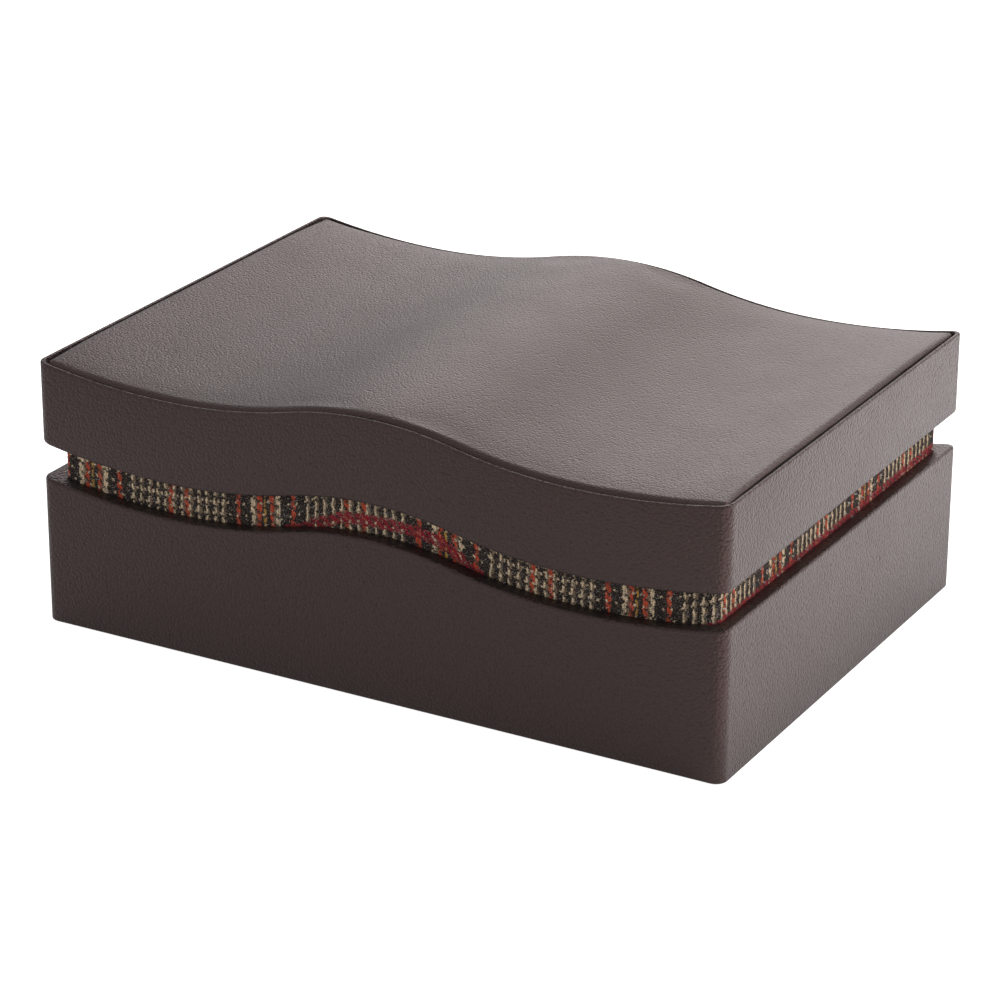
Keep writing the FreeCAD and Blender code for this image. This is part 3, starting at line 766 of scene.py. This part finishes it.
# %% [markdown]
# ## The padded top panel
# The panel is leather drawn over thin foam on a board, so its face is a very low cushion: it
# swells a little, and its edge rolls down into the groove. It is modelled level as a grid with
# rounded corners, thickened downwards, bevelled round its upper edge and lifted to the wave.
# Cloth with a little pressure inside then fills it, and how far it may swell is capped, because
# foam this thin can rise only by a fraction of a millimetre.

# %% Swelling with cloth
def swell(piece, held, cap, frames=20):
    """Fills a closed piece with pressure as cloth. Points that pass `held` stay in place."""
    pick_up(piece)
    start = [point.co.copy() for point in piece.data.vertices]
    group = piece.vertex_groups.new(name="held")
    group.add([point.index for point in piece.data.vertices if held(point)], 1.0, "REPLACE")
    cloth = piece.modifiers.new("cloth", "CLOTH")
    cloth.settings.use_pressure = True
    cloth.settings.uniform_pressure_force = 4.0
    cloth.settings.vertex_group_mass = "held"
    cloth.settings.effector_weights.gravity = 0
    cloth.point_cache.frame_start, cloth.point_cache.frame_end = 1, frames
    for step in range(1, frames + 1):
        bpy.context.scene.frame_set(step)
    bpy.ops.object.modifier_apply(modifier="cloth")
    bpy.context.scene.frame_set(1)
    moved = 0.0
    for point, before in zip(piece.data.vertices, start):
        step = point.co - before
        if step.length > 0:
            point.co = before + step * (cap / (cap + step.length))
            moved = max(moved, (point.co - before).length)
    print("%s swelled by up to %.2f mm" % (piece.name, 1000 * moved))


print("the swelling is", "on")


# %% Top panel
def pad_top():
    inset, rise, foam, roll, corner_pull = 0.0020, 0.0010, 0.0028, 0.0019, -0.0006
    top = lip_low + rise
    put_down()
    bpy.ops.mesh.primitive_grid_add(x_subdivisions=86, y_subdivisions=60, size=1,
                                    location=(0, 0, top))
    piece = take_up("lid_top_cushion", (2 * (half_length - inset), 2 * (half_width - inset), 1))
    open_up(piece)
    round_corners(piece, 0.0018, 4)
    thicken(piece, foam)
    open_up(piece)
    choose(piece, "EDGE", lambda edge: is_fold(edge)
           and all(v.co.z > top - 0.0001 for v in edge.verts))
    bpy.ops.mesh.bevel(offset=roll, segments=8)

    def pulled_down(spot):
        """The leather is drawn down tighter at the four corners."""
        if spot.z < lip_low - 0.001:
            return 0.0
        away = math.hypot(half_length - inset - abs(spot.x), half_width - inset - abs(spot.y))
        return math.exp(-(away / 0.014) ** 2)

    push_up(piece, "corners", pulled_down, corner_pull)
    lift_to_wave(piece)
    shoulder = top - 0.0012
    swell(piece, lambda v: v.co.z - wave(v.co.x) < shoulder, 0.0004)
    return piece


lid_top_cushion = pad_top()
hand_over(lid_top_cushion, panel_leather, "panel_leather", "lid", "lid_top_pad", smooth=60)

# %% [markdown]
# ## Laying the tweed on
# The cloth is a long strip pasted round the neck boards, turned over their wavy top and a
# little way down inside, with its join in the middle of the back. Pulled over the crest it
# does not lie quite straight: the crimson band bows up there and sinks behind the rim to
# both sides. The map of yarns carries that, and also the phase of the check.

# %% The map of yarns
yarn, check_start = 0.0007, 0.0858
bow = [(-0.360, -0.004), (-0.105, -0.006), (-0.040, -0.004), (-0.026, 0.0000), (-0.018, 0.0022),
       (-0.010, 0.0042), (0.000, 0.0047), (0.015, 0.0050), (0.021, 0.0046), (0.026, 0.0030),
       (0.032, 0.0004), (0.042, -0.0040), (0.090, -0.0035), (0.106, 0.0002), (0.122, 0.0012),
       (0.250, 0.0018), (0.360, 0.0018)]


def bowed(along):
    """How high the crimson band lies over the rim, at one place along the strip."""
    for (start, low), (end, high) in zip(bow, bow[1:]):
        if start <= along <= end:
            share = (along - start) / (end - start)
            return low + (high - low) * share * share * (3 - 2 * share)
    return bow[-1][1]


def along_strip(place, on_end, side):
    """The way along the strip from the middle of the front; side is -1 to the left of it."""
    straight_x = half_length - neck_inset - neck_corner
    straight_y = half_width - neck_inset - neck_corner
    bend = neck_corner * math.pi / 2
    whole = 2 * (straight_x + bend + straight_y)
    x, y = abs(place.x), place.y
    if x > straight_x and abs(y) > straight_y:
        way = straight_x + neck_corner * math.atan2(x - straight_x, abs(y) - straight_y)
    elif on_end:
        return side * (straight_x + bend + straight_y + max(-straight_y, min(y, straight_y)))
    else:
        way = min(x, straight_x)
    return side * (way if y < 0 else whole - way)


def map_yarns(piece):
    yarns = piece.data.uv_layers.new(name="yarns")
    for face in piece.data.polygons:
        side = 1 if face.center.x > 0 else -1
        flat_top = abs(face.normal.z) > 0.7
        on_end = half_length - abs(face.center.x) < half_width - abs(face.center.y)
        for loop in face.loop_indices:
            place = piece.data.vertices[piece.data.loops[loop].vertex_index].co
            along = along_strip(place, on_end, side)
            reach = max(abs(place.x) - half_length, abs(place.y) - half_width) + neck_inset
            top = neck_low + wave(place.x)
            height = place.z - rim_low - wave(place.x)
            if flat_top or reach < -0.004:
                height = (top - rim_low - wave(place.x) - reach
                          + (0 if flat_top else top - place.z))
            yarns.data[loop].uv = ((along + check_start) / yarn + 1,
                                   (height - bowed(along)) / yarn)


print("a yarn is %.1f mm wide" % (1000 * yarn))


# %% Tweed band
def wrap_neck():
    piece = outline("neck_tweed", neck_inset, deck_top, radius=neck_corner)
    extrude((0, 0, 0.006))
    extrude((0, 0, neck_low - 0.0395))
    extrude(sides=to_inset(neck_inset, lining_inset))
    extrude((0, 0, -0.008))
    point_outwards()
    lift_to_wave(piece, above=0.045)
    open_up(piece)
    round_folds(piece, neck_low, 0.0007, 3)
    put_down()
    area = sum(face.area for face in piece.data.polygons)
    map_yarns(piece)
    thicken(piece)
    return piece, area


neck_tweed, tweed_area = wrap_neck()
hand_over(neck_tweed, tweed, "tweed", "base", "neck_tweed_band")
print("the tweed is %.0f cm2" % (tweed_area * 1e4))

# %% [markdown]
# ## The nap of the tweed
# Woollen tweed is hairy: loose ends of fibre stand out from it and catch the light along its
# lower edge. They are grown from a ribbon laid on the cloth in the gap between lid and base, so
# that none reaches the lid. Blender's hair gives each its place and bend; the strands are then
# turned into curves, given the thickness of a few fibres and made into a mesh. Hair is
# scattered face by face, so the ribbon's faces are first sorted by their distance from a spot
# beside the box. Without that their order, and with it the nap, is another one on each run.

# %% Nap
def raise_nap():
    strands, strand_length, strand_radius, straying = 6000, 0.0007, 0.000040, 0.00013
    spot_beside = (0.31, 0.17, 0.23)
    ribbon = outline("nap_ribbon", neck_inset - 0.00003, rim_low + 0.0003, radius=neck_corner)
    extrude((0, 0, lid_edge_low - rim_low - 0.0016))
    point_outwards()
    bpy.context.scene.cursor.location = spot_beside
    bpy.ops.mesh.sort_elements(type="CURSOR_DISTANCE", elements={"VERT", "EDGE", "FACE"})
    bpy.context.scene.cursor.location = (0, 0, 0)
    lift_to_wave(ribbon)
    pick_up(ribbon)
    bpy.ops.object.particle_system_add()
    system = ribbon.particle_systems[0]
    system.seed = 5
    hair = system.settings
    hair.type, hair.count, hair.hair_length = "HAIR", strands, strand_length
    hair.hair_step, hair.display_step = 3, 2
    hair.use_advanced_hair = True
    hair.length_random, hair.factor_random, hair.brownian_factor = 0.7, straying, straying
    bpy.context.view_layer.update()
    bpy.ops.object.modifier_convert(modifier=ribbon.modifiers[0].name)
    nap = bpy.context.object
    nap.name = nap.data.name = "tweed_nap"
    bpy.ops.object.convert(target="CURVE")
    nap = bpy.context.object
    nap.data.bevel_depth, nap.data.bevel_resolution = strand_radius, 0
    bpy.ops.object.convert(target="MESH")
    bpy.data.objects.remove(ribbon)
    return bpy.context.object


def loose_fibre():
    bench = Bench("loose_fibre_finish", Specular_IOR_Level=0.3, Roughness=0.6)
    tone = (bench.noise(bench.place(), 900.0, 1.0) - 0.30) * 3.0
    bench.put("Base Color", bench.blend(tone, (0.05, 0.045, 0.045), (0.85, 0.80, 0.74)))
    return bench.done()


hand_over(raise_nap(), loose_fibre(), "tweed", "base")

# %% [markdown]
# ## Linings, felt and dividers
# The tray, its walls and the drawer are lined with suede cloth pasted on board, and the foot
# with felt. Each is a flat sheet with soft cut edges: a grid with its corners rounded, given
# the thickness of the cloth and a hint of unevenness from the paste underneath, with a
# Displace modifier and a clouds pattern. The dividers are boards in the same suede, so they
# are blocks whose edges are as round as cloth over board.

# %% Flat linings
paste = bpy.data.textures.new("paste", "CLOUDS")
paste.noise_scale = 0.018


def lay_cloth(name, node, finish, slot, body, edge=0.00025, radius=0.0015):
    mesh_size, ripple, sunk = 0.005, 0.0002, 0.00012
    low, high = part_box(node)
    size = high - low
    put_down()
    bpy.ops.mesh.primitive_grid_add(
        x_subdivisions=max(4, round(size.x / mesh_size)),
        y_subdivisions=max(4, round(size.y / mesh_size)), size=1,
        location=((low.x + high.x) / 2, (low.y + high.y) / 2, high.z - sunk))
    piece = take_up(name, (size.x, size.y, 1))
    open_up(piece)
    round_corners(piece, radius, 3)
    put_down()
    uneven = piece.modifiers.new("paste", "DISPLACE")
    uneven.texture, uneven.texture_coords = paste, "LOCAL"
    uneven.direction, uneven.mid_level, uneven.strength = "Z", 0.6, ripple
    thicken(piece, size.z - ripple)
    open_up(piece)
    choose(piece, "EDGE", is_fold)
    bpy.ops.mesh.bevel(offset=edge, segments=2)
    bpy.ops.object.mode_set(mode="OBJECT")
    hand_over(piece, finish, slot, body, node)


lay_cloth("tray_lining", "tray_floor_lining", suede, "suede", "base")
lay_cloth("drawer_lining", "drawer_floor_lining", suede, "suede", "drawer")
lay_cloth("foot_felt", "base_felt_pad", felt, "felt", "base",
          edge=0.0003, radius=0.0028)


# %% The lining of the tray's walls
def line_walls():
    low = 0.0343
    piece = outline("wall_lining", lining_inset, low, radius=0.0012)
    extrude((0, 0, lip_low - 0.0275 - low))
    point_outwards()
    mesh = bmesh.from_edit_mesh(piece.data)
    if any(face.normal.dot(middle(face)) > 0 for face in mesh.faces):
        bpy.ops.mesh.flip_normals()
    lift_to_wave(piece, above=0.040)
    area = sum(face.area for face in piece.data.polygons)
    thicken(piece)
    return piece, area


wall_lining, lining_area = line_walls()
hand_over(wall_lining, suede, "suede", "base", "neck_lining")


# %% Dividers
def wrap_divider(name, node, body):
    low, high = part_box(node)
    put_down()
    bpy.ops.mesh.primitive_cube_add(size=1, location=(low + high) / 2)
    piece = take_up(name, high - low)
    open_up(piece)
    choose(piece, "EDGE", lambda edge: min(v.co.z for v in edge.verts) > low.z + 0.001)
    bpy.ops.mesh.bevel(offset=0.0009, segments=4)
    choose(piece, "FACE", lambda face: face.normal.z < -0.9)
    bpy.ops.mesh.inset(thickness=0.0005)
    hand_over(piece, suede, "suede", body, node)
    return piece


def another(piece, name, node, body):
    """A copy of a finished piece where another node of the same size lies."""
    pick_up(piece)
    bpy.ops.object.duplicate()
    copy = bpy.context.object
    copy.name = copy.data.name = name
    low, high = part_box(node)
    own_low, own_high = own_box(copy)
    for key in list(copy.keys()):
        if key.startswith("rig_"):
            del copy[key]
    copy.parent = None
    copy.matrix_world = Matrix.Identity(4)
    copy.location = ((low + high) - (own_low + own_high)) / 2
    copy.location.z = low.z - own_low.z
    bpy.ops.object.transform_apply(location=True, rotation=True, scale=True)
    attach(copy, body)
    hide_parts(node)
    print("copied", piece.name, "as", name)
    put_down()
    return copy


wrap_divider("long_divider", "tray_long_divider", "base")
short_divider = wrap_divider("short_divider_left", "tray_short_divider_left", "base")
another(short_divider, "short_divider_right", "tray_short_divider_right", "base")
drawer_divider = wrap_divider("drawer_wall_left", "drawer_divider_left", "drawer")
another(drawer_divider, "drawer_wall_right", "drawer_divider_right", "drawer")

# %% [markdown]
# ## Cufflink rolls
# A roll is a strip of foam in suede: flat underneath and at its sides, where it presses on its
# neighbours, and round on top. One is modelled as a block with its upper edges rounded and its
# ends softened, remeshed into even faces and filled with pressure as cloth, from a shape a
# little smaller than its place. The other four are copies.

# %% One roll and its copies
def stuff_roll():
    top_radius, end_bevel, even_size = 0.0072, 0.0022, 0.0016
    low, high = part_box("cufflink_roll_1")
    low, high = low + Vector((0.0006, 0.0004, 0)), high - Vector((0.0006, 0.0004, 0.0005))
    put_down()
    bpy.ops.mesh.primitive_cube_add(size=1, location=(low + high) / 2)
    piece = take_up("roll_1", high - low)
    open_up(piece)
    choose(piece, "EDGE", lambda edge: min(v.co.z for v in edge.verts) > low.z + 0.001
           and abs(edge.verts[0].co.x - edge.verts[1].co.x) > 0.1)
    bpy.ops.mesh.bevel(offset=top_radius, segments=8)
    choose(piece, "FACE", lambda face: abs(face.normal.x) > 0.9)
    bpy.ops.mesh.bevel(offset=end_bevel, segments=3, affect="EDGES")
    bpy.ops.object.mode_set(mode="OBJECT")
    even = piece.modifiers.new("even", "REMESH")
    even.mode, even.voxel_size = "VOXEL", even_size
    apply_all(piece)
    swell(piece, lambda v: v.co.z < low.z + 0.001, 0.0006, frames=12)
    smooth_out(piece)
    return piece


roll = stuff_roll()
hand_over(roll, suede, "suede", "base", "cufflink_roll_1", smooth=60)
for number in range(2, 6):
    another(roll, "roll_%d" % number, "cufflink_roll_%d" % number, "base")

# %% [markdown]
# ## The cushion in the lid
# Inside, the lid is filled by a suede cushion that comes down on the neck when the lid shuts.
# Its edge is held flat by the neck, and between the walls of the neck it is free to swell. It
# is made as a slab from a grid, lifted to the wave and filled with pressure; only the part
# over the tray may move.

# %% Lid cushion
def fill_lid():
    thick, above, play, free_inset = 0.0139, lip_low - 0.0053, 0.0004, 0.0105
    below = above - thick
    low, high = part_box("lid_cushion")
    put_down()
    bpy.ops.mesh.primitive_grid_add(x_subdivisions=54, y_subdivisions=38, size=1,
                                    location=(0, 0, below))
    piece = take_up("lid_lining_cushion", (high.x - low.x - play, high.y - low.y - play, 1))
    open_up(piece)
    bpy.ops.mesh.select_all(action="SELECT")
    bpy.ops.mesh.flip_normals()
    round_corners(piece, 0.0025, 3)
    thicken(piece, thick - 0.0002)
    open_up(piece)
    choose(piece, "EDGE", lambda edge: is_fold(edge)
           and all(v.co.z < below + 0.0001 for v in edge.verts))
    bpy.ops.mesh.bevel(offset=0.0018, segments=4)
    lift_to_wave(piece)

    def is_free(v):
        over_tray = (abs(v.co.x) < half_length - free_inset
                     and abs(v.co.y) < half_width - free_inset)
        return over_tray and v.co.z - wave(v.co.x) < below + 0.001

    swell(piece, lambda v: not is_free(v), 0.0030)
    smooth_out(piece)
    return piece


lid_lining_cushion = fill_lid()
hand_over(lid_lining_cushion, suede, "suede", "lid", "lid_cushion", smooth=60)

# %% [markdown]
# ## Felt dots at the back of the drawer bay
# Two felt dots stop the drawer softly. Each is a short cylinder whose rim is bevelled, because
# punched felt never keeps a sharp edge.

# %% Felt dots
dot_radius, dot_y = 0.004, 0.050
low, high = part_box("drawer_bumpers")
put_down()
bpy.ops.mesh.primitive_cylinder_add(vertices=32, radius=dot_radius, depth=high.x - low.x,
                                    location=((low.x + high.x) / 2, -dot_y, (low.z + high.z) / 2),
                                    rotation=(0, math.pi / 2, 0))
dots = take_up("felt_dots")
open_up(dots)
choose(dots, "FACE", lambda face: abs(face.normal.x) > 0.9)
bpy.ops.mesh.bevel(offset=0.0002, segments=2, affect="EDGES")
bpy.ops.mesh.select_all(action="SELECT")
bpy.ops.mesh.duplicate_move(TRANSFORM_OT_translate={"value": (0, 2 * dot_y, 0)})
hand_over(dots, felt, "felt", "base", "drawer_bumpers")

# %% [markdown]
# ## The leather of the drawer's front
# The drawer's front is a board covered like the walls, with a shallow half-round notch for a
# fingertip in its upper edge. It is a block cut by a cylinder, the corners of the notch eased,
# opened at the back, its front edges bevelled to the bend of leather, and given the leather's
# thickness inwards.

# %% Drawer front
def cover_drawer_front():
    notch_radius, eased, bend = 0.010, 0.0015, 0.0006
    low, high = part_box("drawer_front_wrap")
    put_down()
    bpy.ops.mesh.primitive_cylinder_add(vertices=96, radius=notch_radius, depth=0.02,
                                        rotation=(0, math.radians(90), 0),
                                        location=(low.x, 0, high.z - 0.0006))
    cutter = bpy.context.object
    bpy.ops.mesh.primitive_cube_add(size=1, location=(low + high) / 2)
    piece = take_up("drawer_front_leather", high - low)
    cut_away(piece, cutter)
    open_up(piece)
    choose(piece, "EDGE", lambda edge: abs(edge.verts[0].co.x - edge.verts[1].co.x) > 0.001
           and abs(middle(edge).z - high.z) < 1e-5 and abs(middle(edge).y) < 2 * notch_radius)
    bpy.ops.mesh.bevel(offset=eased, segments=5)
    choose(piece, "FACE", lambda face: face.normal.x > 0.9)
    bpy.ops.mesh.delete(type="ONLY_FACE")
    choose(piece, "EDGE", lambda edge: len(edge.link_faces) == 2
           and all(abs(v.co.x - low.x) < 1e-6 for v in edge.verts)
           and edge.calc_face_angle() > 0.8)
    bpy.ops.mesh.bevel(offset=bend, segments=3)
    thicken(piece)
    hand_over(piece, leather, "leather", "drawer", "drawer_front_wrap")


cover_drawer_front()

# %% [markdown]
# ## The hinge screws
# Each brass leaf is held by two small slotted screws with flat heads, let in flush. One screw
# is turned from a disc: the back is inset and pulled out for the shank, the rim of the head is
# eased and a slot is cut. The others are copies moved along the hinge.

# %% Screws
def turn_screws(name, node, body):
    hinge_x, apart, head_radius, head, shank = 0.065, 0.008, 0.0014, 0.0004, 0.0024
    low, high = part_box(node)
    places = [(side * hinge_x + step, low.y + head / 2, (low.z + high.z) / 2)
              for side in (-1, 1) for step in (-apart, apart)]
    put_down()
    bpy.ops.mesh.primitive_cylinder_add(vertices=32, radius=head_radius, depth=head,
                                        rotation=(math.radians(90), 0, 0), location=places[0])
    piece = take_up(name)
    bpy.ops.mesh.primitive_cube_add(size=1, location=(places[0][0], low.y, places[0][2]))
    blade = take_up("blade", (0.0035, 0.0004, 0.0004))
    open_up(piece)
    choose(piece, "FACE", lambda face: face.normal.y > 0.9)
    bpy.ops.mesh.inset(thickness=head_radius / 2)
    bpy.ops.mesh.extrude_region_move(TRANSFORM_OT_translate={"value": (0, shank, 0)})
    choose(piece, "EDGE", lambda edge: all(abs(v.co.y - low.y) < 1e-6 for v in edge.verts))
    bpy.ops.mesh.bevel(offset=0.00008, segments=2)
    put_down()
    cut_away(piece, blade)
    open_up(piece)
    bpy.ops.mesh.select_all(action="SELECT")
    for here, there in zip(places, places[1:]):
        step = Vector(there) - Vector(here)
        bpy.ops.mesh.duplicate_move(TRANSFORM_OT_translate={"value": step})
    point_outwards()
    hand_over(piece, brass, "brass", body, node)


turn_screws("base_screws", "base_hinge_screws", "base")
turn_screws("lid_screws", "lid_hinge_screws", "lid")

# %% Write the sizes and finish
low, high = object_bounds()
print("the box measures %.1f x %.1f x %.1f mm" % tuple(1000 * side for side in high - low))
